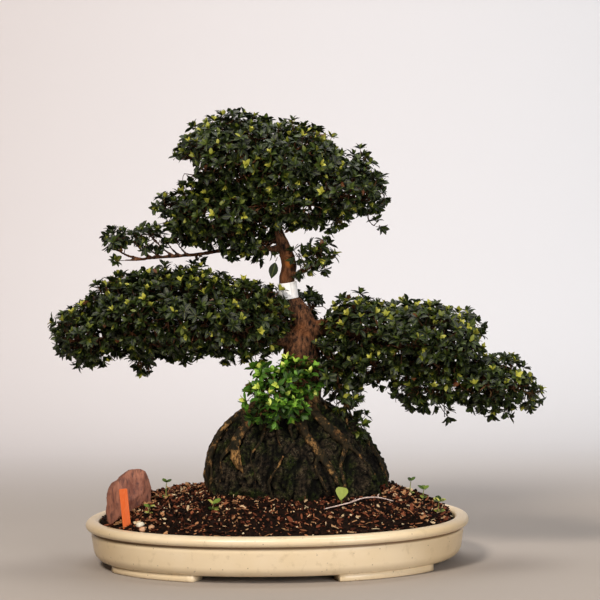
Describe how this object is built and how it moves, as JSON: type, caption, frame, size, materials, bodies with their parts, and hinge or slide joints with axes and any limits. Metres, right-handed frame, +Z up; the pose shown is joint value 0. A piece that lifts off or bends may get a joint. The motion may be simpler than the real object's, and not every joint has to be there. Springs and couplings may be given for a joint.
{
  "type": "satsuki azalea bonsai",
  "caption": "Satsuki azalea bonsai grown root-over-rock, with layered leaf pads, in a shallow oval glazed pot on low feet.",
  "frame": {"origin": "on the table plane, under the middle of the whole tree and pot", "axes": "+X to the right along the pot's long side, +Y to the back, +Z up"},
  "size_m": [0.7566, 0.45, 0.7043],
  "materials": {
    "glazed_pot": "satin cream glaze with brown in the groove",
    "mesh_plastic": "matte",
    "bark_soil": "rough bark compost",
    "mossy_rock": "rough, dark, partly mossy",
    "azalea_bark": "finely fissured bark",
    "azalea_leaf": "semi-gloss leaf",
    "young_leaf": "semi-gloss leaf",
    "weed_leaf": "soft matte leaf",
    "red_stone": "broken, matte",
    "orange_plastic": "smooth",
    "white_tape": "smooth",
    "bleached_twig": "dry",
    "pale_pebble": "matte"
  },
  "bodies": {
    "root": {"pot": "glazed_pot", "drain_screen_left": "mesh_plastic", "drain_screen_right": "mesh_plastic", "soil": "bark_soil", "rock": "mossy_rock", "wood": "azalea_bark", "foliage_crown": "azalea_leaf", "foliage_low_left": "azalea_leaf", "foliage_left": "azalea_leaf", "foliage_right": "azalea_leaf", "foliage_mid_tuft": "azalea_leaf", "foliage_back": "azalea_leaf", "foliage_back_tuft": "azalea_leaf", "foliage_trunk_side": "azalea_leaf", "foliage_cascade": "young_leaf", "foliage_rock_tuft": "azalea_leaf", "hanging_leaf": "azalea_leaf", "trunk_band": "white_tape", "red_stone": "red_stone", "plant_label": "orange_plastic", "bare_twig": "bleached_twig", "pebble_white": "pale_pebble", "pebble_tan_left": "pale_pebble", "pebble_tan_right": "pale_pebble", "weed_left_tall": "weed_leaf", "weed_left_low": "weed_leaf", "weed_front_left": "weed_leaf", "weed_front_heart": "weed_leaf", "weed_right_upper": "weed_leaf", "weed_right_middle": "weed_leaf", "weed_right_lower": "weed_leaf"}
  },
  "joints": []
}
